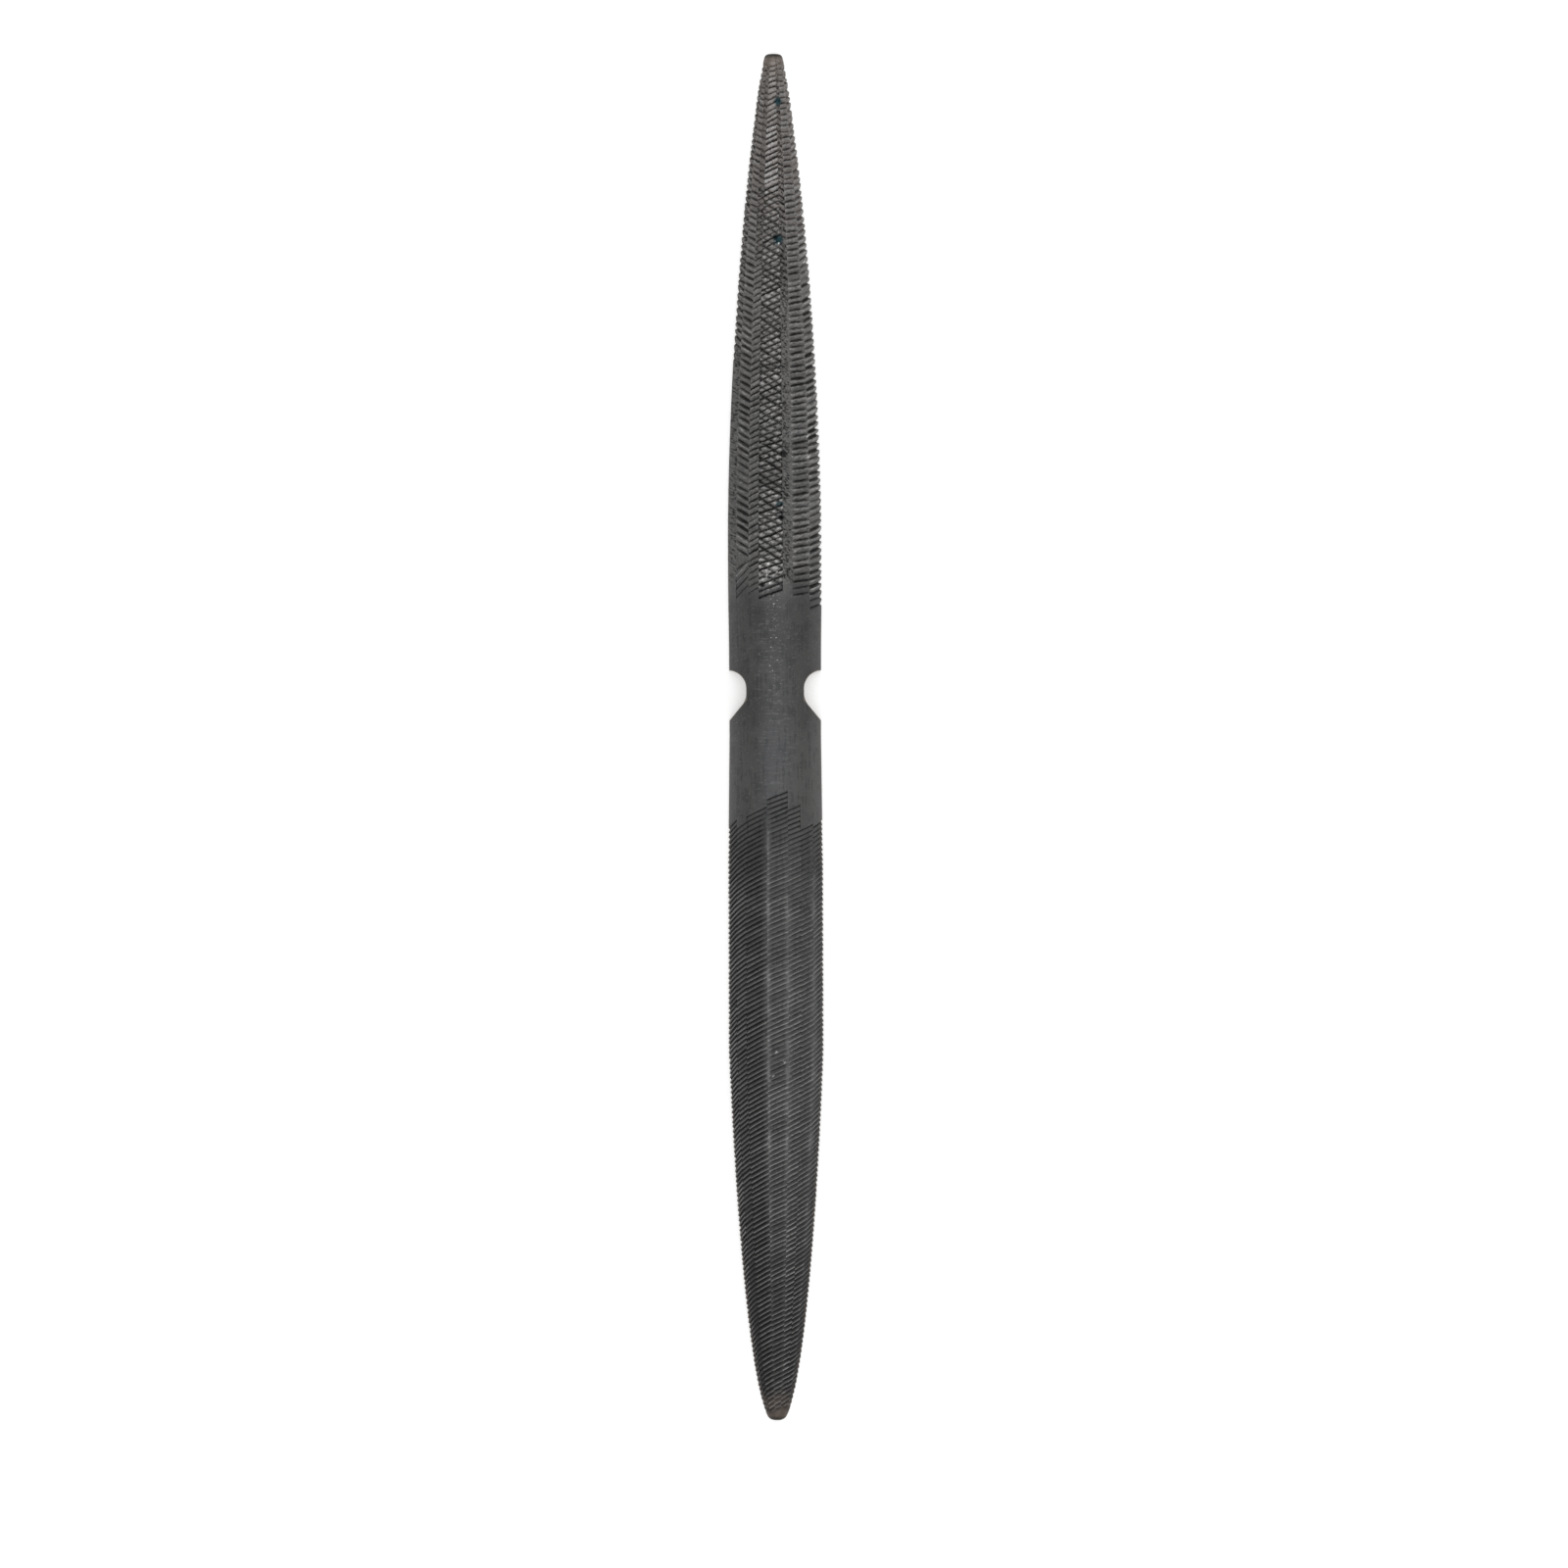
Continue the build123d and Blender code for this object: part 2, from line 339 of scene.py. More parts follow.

# Small marks on the crown, by what they are: x, y and radius in mm. Wax stands proud, a pit is
# sunk and painted dark with shade and soot, and a spark is a rubbed point painted with a glint.
SPOTS = {
    "wax": ((0.66, 96.2, 0.75), (0.62, 75.1, 0.95), (0.55, 35.1, 0.45), (1.0, 35.2, 0.35)),
    "pit": ((0.2, 75.5, 0.5), (1.38, 42.8, 0.65), (1.0, 33.1, 0.55), (-1.9, 22.9, 0.5)),
    "painted_glint": (
        (0.75, 74.6, 0.25), (4.65, 71.9, 0.25), (4.55, 74.0, 0.2), (4.9, 70.6, 0.2),
        (5.6, 57.0, 0.25), (5.75, 55.3, 0.2), (5.0, 45.4, 0.22), (5.05, 42.3, 0.25),
        (3.2, 28.0, 0.22), (-1.9, 23.7, 0.2), (-1.2, 24.4, 0.25), (-0.7, 23.2, 0.2),
        (0.3, 24.9, 0.2), (0.1, -47.6, 0.15), (1.2, -49.0, 0.15), (-0.4, -51.2, 0.15)),
}
# The last is how far a spark's painted glint goes past a fully rubbed crest.
WAX_PROUD, PIT_DEPTH, GLINT_GAIN = 0.06, 0.3, 1.5


# ---- one lane's cuts

def ramp(t, feather):
    """Share of its full depth that a cut has at t of its lane's width from a border."""
    return min(1.0, FEATHER_BITE + (1 - FEATHER_BITE) * t / feather) if feather else 1.0


def tooth_depth(phase, shape):
    """Depth of a tooth's outline at a phase from crest (0) to crest (1), as a share of its bite."""
    for (before, high), (after, low) in zip(shape, shape[1:]):
        if phase <= after:
            return high + (low - high) * (phase - before) / (after - before)
    return 0.0


class Tooth(NamedTuple):
    u: float        # mm from the middle of the bar to its crest, at the middle of its lane
    keep: float     # share of the crown's bulge that the flat keeps
    bite: float     # mm
    lean: float     # mm that its crest moves towards the tip, for each mm to the right
    bright: float   # how far its crest is rubbed and painted highlit
    wave: tuple     # mm by which its crest wanders, and where across the lane


class Cuts:
    """One lane's teeth, and where each is on the bar."""

    def __init__(self, lane, end, luck):
        settings = bpy.context.scene.file_teeth
        depth = (settings.coarse_depth if end.side > 0 else settings.fine_depth) / MM * lane.depth
        hand = settings.hand_share * lane.waver
        full = crown()[0]
        self.lane, self.end, self.teeth = lane, end, []
        self.chord = 2 * full if lane.edges == (-1.0, 1.0) else self.full_chord(lane)
        u = lane.start
        while u < lane.stop:
            share = (u - lane.start) / (lane.stop - lane.start)
            pitch = blend(lane.pitch, share)
            run_in = max(0.0, 1 - (u - lane.start) / RUN_IN)
            dull = max(0.0, 1 - (u - lane.start) / end.dull)
            fade = NARROW_BITE + (1 - NARROW_BITE) * half_width(end.side * u) / full
            bite = depth * fade * (1 - RUN_IN_SHALLOW * run_in)
            bite *= 1 + luck.gauss(0, UNEVEN_BITE) * hand
            bite *= min(1.0, LAST_BITE + (1 - LAST_BITE) * (lane.stop - u) / RUN_OUT)
            skew = blend(lane.skew, share) * (1 - end.level * smooth(*LEVEL_OVER, u))
            if lane.early and u < lane.early[0]:
                skew = lane.early[1]
            skew += luck.gauss(0, UNEVEN_SKEW) * hand
            worn_and_highlit = blend(lane.rub_and_highlight, share) * (1 - RUN_IN_DULL * dull)
            worn_and_highlit *= 1 - end.tip_dull * smooth(*TIP_OVER, u)
            self.teeth.append(Tooth(
                u + luck.gauss(0, UNEVEN_PLACE) * hand * pitch, 1 - end.flat * (1 - run_in),
                max(bite, LEAST_BITE), end.side * math.tan(math.radians(skew)),
                worn_and_highlit * luck.uniform(*end.bright),
                (luck.gauss(0, end.wander) * hand, luck.uniform(*WAVE_TURNS),
                 luck.uniform(0, math.tau))))
            if lane.early and u < lane.early[0] <= u + pitch:
                u += EARLY_GAP
            u += pitch

    def full_chord(self, lane):
        full, radius = crown()[:2]
        ends = [Vector((s * full, math.sqrt(radius**2 - (s * full) ** 2))) for s in lane.edges]
        return (ends[1] - ends[0]).length

    def crest(self, tooth, t):
        """mm from the middle to a crest at the share t of its lane."""
        across = (t - 0.5) * self.chord * half_width(self.end.side * tooth.u) / crown()[0]
        swing, turns, turned = tooth.wave
        return tooth.u + across * tooth.lean + swing * math.sin(turns * t + turned)

    def at(self, u, t):
        """The flat's keep, the depth in mm and as a share at a place, or None outside the cuts."""
        after = bisect.bisect_right(self.teeth, u, key=lambda tooth: self.crest(tooth, t))
        if after in (0, len(self.teeth)):
            return None
        tooth = self.teeth[after - 1]
        first, second = self.crest(tooth, t), self.crest(self.teeth[after], t)
        deep = tooth_depth((u - first) / (second - first), self.end.shape)
        return tooth.keep, tooth.bite * deep + SUNK, deep

    def darkness(self, u):
        """How dark these cuts are at u."""
        dark = min(1.0, DARK_FOR_DEPTH * self.lane.depth) * self.lane.dark
        dark *= 1 + START_DARK * (1 - smooth(*START_OVER, u - self.lane.start))
        dark *= 1 + self.end.tip_dark * smooth(*TIP_OVER, u)
        return min(1.0, dark)


# ---- weaving the skin

def columns(end):
    """The columns of one end's crown, left to right: share of the half width, and lane."""
    full = crown()[0]
    borders = [lane.edges[0] for lane in end.lanes[:-1]] + [1.0]
    gaps = [0.0] + [ridge / 2 / full + LANE_GAP / full for ridge in end.ridges] + [0.0]
    made = []
    for strip, cells in enumerate(STRIP_CELLS):
        left, right = borders[strip] + gaps[strip], borders[strip + 1] - gaps[strip + 1]
        made += [(left + (right - left) * k / cells, strip) for k in range(cells + 1)]
        if strip in RIDGED:
            beside = max(end.ridges[strip] / 2 - RIDGE_SIDE, RIDGE_LEAST) / full
            made.append((borders[strip + 1] - beside, strip))
            made.append((borders[strip + 1] + beside, strip + 1))
    return made


def row_lean(lanes, share):
    """mm that a row of the full grid moves towards +Y from the middle out to a share."""
    full, radius = crown()[:2]
    total, count = 0.0, int(round(abs(share) / LEAN_STEP))
    for k in range(count):
        here = math.copysign((k + 0.5) * LEAN_STEP, share)
        lane = next((l for l in lanes[:-1] if l.edges[0] <= here <= l.edges[1]), lanes[0])
        across = full * LEAN_STEP / math.sqrt(1 - (here * full / radius) ** 2)
        total += across * math.tan(math.radians(sum(lane.skew) / 2))
    return math.copysign(1, share) * total if count else 0.0


def end_rows(start, step):
    """mm from the middle of the rows of one end, from the waist to the tip."""
    stop = sizes().length / MM / 2 - TIP_ROUND
    count = math.ceil((stop - start) / step)
    rows = [start + (stop - start) * k / count for k in range(count + 1)]
    return rows + [stop + TIP_ROUND * math.sin(math.radians(a)) for a in TIP_ROW_ANGLES]


def section_spot(share, y):
    """Point (x, z) of the crown at a share of the half width."""
    full, radius, centre = crown()
    scale = rounded_half_width(y) / full
    return Vector((share * full, centre + math.sqrt(radius**2 - (share * full) ** 2))) * scale


def lane_spot(lane, t, y, keep, sunk):
    """Point (x, z) on a lane's flat, which keeps a share of the crown's bulge, sunk some mm."""
    left, right = (section_spot(edge, y) for edge in lane.edges)
    share, flat = blend(lane.edges, t), left + (right - left) * t
    along = (right - left).normalized()
    outward = Vector((-along.y, along.x))
    if share in (-1.0, 1.0):
        bitten = flat - outward * (sunk - SUNK if sunk else 0.0) * EDGE_BITE
        return Vector((bitten.x, max(bitten.y, EDGE_LEFT * flat.y)))
    bulge = (section_spot(share, y) - flat).dot(outward)
    return flat + outward * (keep * bulge - sunk)


def snap_rows(base, cuts, t, rows_at):
    """One column's rows, moved so that each crest and each root falls on one: their places, and
    for each its tooth and phase or None."""
    places, phases = list(base), [None] * len(base)
    crests = [cuts.crest(tooth, t) for tooth in cuts.teeth]
    for number, (first, second) in enumerate(zip(rows_at, rows_at[1:])):
        n = second - first
        root = max(1, round(STEEP * n))
        for k in range(n):
            phase = STEEP * k / root if k < root else STEEP + (1 - STEEP) * (k - root) / (n - root)
            places[first + k] = blend(crests[number:number + 2], phase)
            phases[first + k] = (cuts.teeth[number], phase)
    last = len(rows_at) - 1
    places[rows_at[-1]] = crests[last]
    before, after = crests[0] - base[rows_at[0]], crests[last] - base[rows_at[-1]]
    for k in range(1, EASED_ROWS):
        if rows_at[0] - k >= 0:
            places[rows_at[0] - k] += before * (1 - k / EASED_ROWS)
        if rows_at[-1] + k < len(base) - 2:
            places[rows_at[-1] + k] += after * (1 - k / EASED_ROWS)
    return places, phases


def tooth_rows(base, cuts):
    """The row on which each crest falls, at the middle of its lane."""
    rows_at, k = [], 0
    for tooth in cuts.teeth:
        while k + 1 < len(base) and abs(base[k + 1] - tooth.u) <= abs(base[k] - tooth.u):
            k += 1
        if rows_at and k - rows_at[-1] < TOOTH_ROWS:
            k = rows_at[-1] + TOOTH_ROWS
        if k >= len(base) - TIP_ROWS:
            break
        rows_at.append(k)
    return rows_at


def marked(x, y, z, worn_and_highlit, soot_and_shade):
    """A point of the crown with the small marks that reach it."""
    wax = 0.0
    for kind, spots in SPOTS.items():
        for spot_x, spot_y, radius in spots:
            if abs(y - spot_y) >= radius or abs(x - spot_x) >= radius:
                continue
            near = max(0.0, 1 - math.hypot(x - spot_x, y - spot_y) / radius)
            if kind == "wax":
                wax, z = min(1.0, 2 * near), z + WAX_PROUD * near
            elif kind == "pit":
                worn_and_highlit, soot_and_shade = worn_and_highlit * (1 - near), max(soot_and_shade, min(1.0, 2 * near))
                z -= PIT_DEPTH * near
            elif near:
                # a spark is a painted glint, past a fully rubbed crest
                worn_and_highlit = 1.0 + GLINT_GAIN * near
    return x, y, z, worn_and_highlit, soot_and_shade, wax


def weave_column(share, t, cuts, crossing, places, phases, uncut, back, luck):
    """One column of points from the waist to the tip: x, y and z in mm, wear with a painted
    highlight, soot with painted shade, and wax.
    """
    lane, end, full = cuts.lane, cuts.end, crown()[0]
    hand = bpy.context.scene.file_teeth.hand_share * lane.waver
    jag = 0.0 if back else end.jagged * hand
    places = [u + luck.gauss(0, jag) if cut else u for u, cut in zip(places, phases)]
    feathered = min(ramp(t, lane.feather[0]), ramp(1 - t, lane.feather[1]))
    near, rub_and_highlight, low, high = max(
        ((1 - smooth(*end.reach, abs(border - share) * full), *ridge)
         for border, *ridge in (() if back else end.rubbed_and_highlit)), default=(0.0, 0.0, 0, 1))
    line = []
    for u, cut in zip(places, phases):
        y = end.side * u
        keep, sunk, worn_and_highlit, soot_and_shade = 1.0, 0.0, 0.0, 0.0
        first, second = RIDGE_WAVES
        wave = RIDGE_PATCHY * math.sin(first * u) * math.sin(second * u + 1)
        spared = near * smooth(low, high, u) * (1 - RIDGE_PATCHY + wave)
        spared *= 1 - RIDGE_FADE * smooth(*RIDGE_FADE_OVER, u)
        if uncut:
            soot_and_shade = (UNCUT_SOOT + luck.gauss(0, FLECKED)) * smooth(*UNCUT_OVER, u)
        if cut is not None:
            tooth, phase = cut
            deep = tooth_depth(phase, end.shape)
            bite = tooth.bite * (1 + luck.gauss(0, UNEVEN_POINT) * hand)
            bite *= (1 - SPARED_BITE * spared) * feathered
            keep, sunk = tooth.keep, bite * deep + SUNK
            # The crest is rubbed and painted highlit, and the cut is painted dark with shade and
            # soot, by its depth.
            crest = (1 - deep) ** lane.narrow * tooth.bright
            dark = deep * cuts.darkness(u) * (1 - SPARED_DARK * spared)
            dark *= FEATHER_DARK + (1 - FEATHER_DARK) * feathered
            if end.broken:
                crest *= 1 + luck.gauss(0, end.broken)
                dark *= 1 - abs(luck.gauss(0, end.broken / 2))
            worn_and_highlit, soot_and_shade = max(crest, rub_and_highlight * spared), max(soot_and_shade * (1 - SPARED_SOOT * spared), dark)
        crossed = crossing.at(u, t) if crossing else None
        if crossed:
            crossed_keep, crossed_sunk, deep = crossed
            # A crossing cut takes away the painted highlight and paints its own shade and soot.
            worn_and_highlit, soot_and_shade = worn_and_highlit * (1 - deep) ** lane.narrow, max(soot_and_shade, deep)
            if crossed_sunk > sunk:
                keep, sunk = min(keep, crossed_keep), crossed_sunk
        if back:
            line.append((share * rounded_half_width(y), y, sunk, worn_and_highlit, soot_and_shade, 0.0))
        else:
            spot = lane_spot(lane, t, y, keep, sunk)
            line.append(marked(spot.x, y, max(spot.y, LOWEST), worn_and_highlit, soot_and_shade))
    return line


def weave_end(end, back):
    """Rows of points of one end's crown or of its back, from the waist to the tip."""
    luck = random.Random(end.seed)
    all_cuts = [Cuts(lane, end, luck) for lane in end.lanes]
    crossings = {} if back else {
        number: Cuts(lane, end, luck) for number, lane in end.crossings.items()}
    rows = end_rows(*end.rows)
    half_length, full = sizes().length / MM / 2, crown()[0]

    def leaning(share):
        """Places of the rows at a share of the half width."""
        if back:
            lean = share * full * math.tan(math.radians(sum(end.lanes[-1].skew) / 2))
        else:
            lean = row_lean(end.lanes, share)
        fades = [smooth(*end.leaning, row) * min(1.0, (half_length - row) / LEAN_OUT)
                 for row in rows]
        return [row + end.side * (lean * fade * half_width(end.side * row) / full)
                for row, fade in zip(rows, fades)]

    made = [(share, len(end.lanes) - 1) for share in BACK_SHARES] if back else columns(end)
    rows_at = [tooth_rows(leaning(sum(cuts.lane.edges) / 2), cuts) for cuts in all_cuts]
    grid = []
    for share, number in made:
        cuts = all_cuts[number]
        left, right = cuts.lane.edges
        t = (share - left) / (right - left)
        places, phases = snap_rows(leaning(share), cuts, t, rows_at[number])
        grid.append(weave_column(share, t, cuts, crossings.get(number), places, phases,
                                 number in end.uncut, back, luck))
    return [list(row) for row in zip(*grid)]


def weave_waist(fine_row, coarse_row):
    """Rows of the plain waist between the two ends' first rows."""
    rows = []
    count = round((COARSE.rows[0] + FINE.rows[0]) / WAIST_ROW_STEP)
    for k in range(1, count):
        share = k / count
        row = []
        for low, high in zip(fine_row, coarse_row):
            y = blend((low[1], high[1]), share)
            across = blend([spot[0] / rounded_half_width(spot[1]) for spot in (low, high)],
                           smooth(0, 1, share))
            if low[2] < LOWEST / 2:
                row.append((across * rounded_half_width(y), y, 0.0, 0.0, 0.0, 0.0))
            else:
                spot = section_spot(min(max(across, -1.0), 1.0), y)
                row.append((spot.x, y, spot.y, 0.0, 0.0, 0.0))
        rows.append(row)
    return rows


def skin_rows(back):
    """Rows of points of the crown or of the back, from the fine tip to the coarse one."""
    fine, coarse = weave_end(FINE, back), weave_end(COARSE, back)
    return fine[::-1] + weave_waist(fine[0], coarse[0]) + coarse


def weave(name, rows):
    """A skin through rows of points, with their finish as its attributes."""
    bpy.ops.mesh.primitive_grid_add(
        x_subdivisions=len(rows[0]) - 1, y_subdivisions=len(rows) - 1, size=0.2,
        location=(0, 0, 0))
    skin = bpy.context.object
    skin.name = skin.data.name = name
    spots = [point for row in rows for point in row]
    skin.data.vertices.foreach_set("co", [c * MM for spot in spots for c in spot[:3]])
    # The points' wear with a painted highlight, soot with painted shade, and wax.
    for number, mark_name in enumerate(("worn_and_highlit", "soot_and_shade", "wax"), 3):
        mark = skin.data.attributes.new(mark_name, "FLOAT", "POINT")
        mark.data.foreach_set("value", [spot[number] for spot in spots])
    skin.data.update()
    return skin


# ---- small tools

def alone(piece):
    """Leave one object selected and active."""
    bpy.ops.object.select_all(action="DESELECT")
    piece.select_set(True)
    bpy.context.view_layer.objects.active = piece


def the_bar():
    bar = bpy.data.objects.get("file_bar")
    if bar is None:
        raise RuntimeError("the bar isn't cut yet")
    return bar


# Faces that a cut has to leave: it has failed where there are fewer.
LEAST_FACES = 1000


def cut_away(piece, cutter):
    """Take a cutter's room out of a piece, then throw the cutter away."""
    alone(piece)
    bpy.ops.object.modifier_add(type="BOOLEAN")
    grinder = piece.modifiers[-1]
    grinder.operation, grinder.solver, grinder.object = "DIFFERENCE", "EXACT", cutter
    bpy.ops.object.modifier_apply(modifier=grinder.name)
    bpy.data.objects.remove(cutter, do_unlink=True)
    if len(piece.data.polygons) < LEAST_FACES:
        raise RuntimeError("the cut left almost nothing of the bar")


def stitch(mesh, upper, lower):
    """Close the gap between two rows of points with triangles, the nearer point first."""
    loom = bmesh.new()
    loom.from_mesh(mesh)
    loom.verts.ensure_lookup_table()
    a = b = 0
    while a + 1 < len(upper) or b + 1 < len(lower):
        here, there = loom.verts[upper[a]], loom.verts[lower[b]]
        ahead = loom.verts[upper[a + 1]].co.y if a + 1 < len(upper) else math.inf
        below = loom.verts[lower[b + 1]].co.y if b + 1 < len(lower) else math.inf
        if ahead <= below:
            loom.faces.new((here, there, loom.verts[upper[a + 1]]))
            a += 1
        else:
            loom.faces.new((here, there, loom.verts[lower[b + 1]]))
            b += 1
    loom.to_mesh(mesh)
    loom.free()


# ---- the bar

class WAXFILE_OT_cut_bar(bpy.types.Operator):
    """Shape the half-round bar and cut its teeth, lane by lane"""

    bl_idname = "waxfile.cut_bar"
    bl_label = "Cut Bar"

    def execute(self, context):
        upper, lower = skin_rows(back=False), skin_rows(back=True)
        edges = {side: sorted((row[at][1], abs(row[at][0])) for row in upper)
                 for side, at in ((-1, 0), (1, -1))}
        for row in lower:
            for side, outer, inner, third in ((1, 0, 1, 2), (-1, -1, -2, -3)):
                x, y, z, *rest = row[outer]
                outer_x = min(abs(x), self.between(edges[side], y) - BACK_INSETS[0])
                row[outer] = (side * outer_x, y, min(z, BACK_LIP * section_spot(1.0, y).y), *rest)
                x, y, z, *rest = row[inner]
                inner_x = min(abs(x), self.between(edges[side], y) - BACK_INSETS[1])
                inner_x = max(inner_x, (outer_x + abs(row[third][0])) / 2)
                row[inner] = (side * inner_x, y, z, *rest)
        bar, back = weave("crown_skin", upper), weave("back_skin", lower)
        alone(bar)
        back.select_set(True)
        bpy.ops.object.join()
        bar.name = bar.data.name = "file_bar"
        across, low_across = len(upper[0]), len(lower[0])
        first = across * len(upper)
        last = first + low_across * len(lower)
        stitch(bar.data, range(across - 1, first, across), range(first, last, low_across))
        stitch(bar.data, range(0, first, across), range(first + low_across - 1, last, low_across))
        alone(bar)
        bpy.ops.object.mode_set(mode="EDIT")
        bpy.ops.mesh.select_mode(type="VERT")
        bpy.ops.mesh.select_all(action="DESELECT")
        bpy.ops.mesh.select_non_manifold()
        bpy.ops.mesh.fill_holes(sides=0)
        bpy.ops.mesh.select_all(action="SELECT")
        bpy.ops.mesh.normals_make_consistent(inside=False)
        bpy.ops.object.mode_set(mode="OBJECT")
        return {"FINISHED"}

    def between(self, line, y):
        """Height of a line of sorted points at y."""
        at = bisect.bisect_left(line, (y, 0.0))
        if at in (0, len(line)):
            return line[min(at, len(line) - 1)][1]
        (before, low), (after, high) = line[at - 1], line[at]
        return low + (high - low) * (y - before) / (after - before)


# mm from the middle of the bar: the centre of a notch's round shoulder, and both ends of its
# ramp towards the fine end. Then the ramp's mm along for each mm across, and its blend.
NOTCH_CENTRE, RAMP_TOP, RAMP_FOOT = 7.3, 5.6, 2.6
RAMP_SLOPE, RAMP_BLEND = 1.2, 0.9
# The notches' cutters: how high in metres, the round one's sides, the sides of the other one's
# blend, and how near an edge's ends have to be to count as that blend's.
CUTTER_HEIGHT, CUTTER_SIDES, BLEND_SIDES, AT_EDGE = 0.02, 96, 8, 1e-6


class WAXFILE_OT_grind_notches(bpy.types.Operator):
    """Grind the pair of notches into the edges of the waist"""

    bl_idname = "waxfile.grind_notches"
    bl_label = "Grind Notches"

    def execute(self, context):
        bar = the_bar()
        settings = sizes()
        waist = settings.waist_width / MM / 2
        floor, r = waist - settings.notch_depth / MM, settings.notch_radius / MM
        for hand in (-1, 1):
            bpy.ops.mesh.primitive_cylinder_add(
                vertices=CUTTER_SIDES, radius=r * MM, depth=CUTTER_HEIGHT,
                location=(hand * (floor + r) * MM, NOTCH_CENTRE * MM, 0.0))
            cut_away(bar, context.object)
            cut_away(bar, self.ramp_cutter(hand, floor, waist, r))
        return {"FINISHED"}

    def ramp_cutter(self, hand, floor, waist, r):
        """Cutter of the notch's short floor and its straight run-out towards the fine end."""
        bpy.ops.mesh.primitive_cube_add(size=CUTTER_HEIGHT, location=(0, 0, 0))
        block = bpy.context.object
        for corner in block.data.vertices:
            outer, upper = corner.co.x * hand > 0, corner.co.y > 0
            x = waist + r if outer else floor
            y = NOTCH_CENTRE if upper else (RAMP_FOOT - RAMP_SLOPE * r if outer else RAMP_TOP)
            corner.co.x, corner.co.y = hand * x * MM, y * MM
        alone(block)
        bpy.ops.object.mode_set(mode="EDIT")
        bpy.ops.mesh.select_mode(type="EDGE")
        bpy.ops.mesh.select_all(action="DESELECT")
        bpy.ops.object.mode_set(mode="OBJECT")
        for side in block.data.edges:
            ends = [block.data.vertices[i].co for i in side.vertices]
            side.select = all(abs(e.x - hand * floor * MM) < AT_EDGE and
                              abs(e.y - RAMP_TOP * MM) < AT_EDGE for e in ends)
        bpy.ops.object.mode_set(mode="EDIT")
        bpy.ops.mesh.bevel(offset=RAMP_BLEND * MM, segments=BLEND_SIDES, affect="EDGES")
        bpy.ops.mesh.select_all(action="SELECT")
        bpy.ops.mesh.normals_make_consistent(inside=False)
        bpy.ops.object.mode_set(mode="OBJECT")
        return block


# ---- the finish

def linear(hex_colour):
    """sRGB hex to the linear colour that a shader takes."""
    parts = [int(hex_colour[i:i + 2], 16) / 255 for i in (1, 3, 5)]
    return (*(p / 12.92 if p <= 0.04045 else ((p + 0.055) / 1.055) ** 2.4 for p in parts), 1.0)


def blank_tree(owner):
    """The emptied node tree of a material or world."""
    owner.use_nodes = True
    owner.node_tree.nodes.clear()
    return owner.node_tree


def node(tree, kind, links=(), **settings):
    """Add a node. links are (input, output socket or plain value), settings its own properties."""
    made = tree.nodes.new(kind)
    for name, value in settings.items():
        setattr(made, name, value)
    for socket, value in links:
        if isinstance(value, bpy.types.NodeSocket):
            tree.links.new(value, made.inputs[socket])
        else:
            made.inputs[socket].default_value = value
    return made


# Noises of the steel: patch size in mm, detail, roughness, and how far it is drawn out along each
# axis. The blank was ground across and drawn along: both marks are far finer on real steel, and
# are coarser here so that they show at all.
STEEL_NOISES = (
    ("clouds", 6.0, 4, 0.5, (1, 1, 1)),
    ("blotches", 1.6, 3, 0.5, (1, 1, 1)),
    ("grain", 0.32, 2, 0.7, (1, 1, 1)),
    ("ground", 0.3, 2, 0.5, (14, 1, 1)),
    ("drawn", 0.35, 2, 0.5, (1, 16, 1)),
    ("chatter", 0.28, 2, 0.6, (1.6, 1, 1)),
)
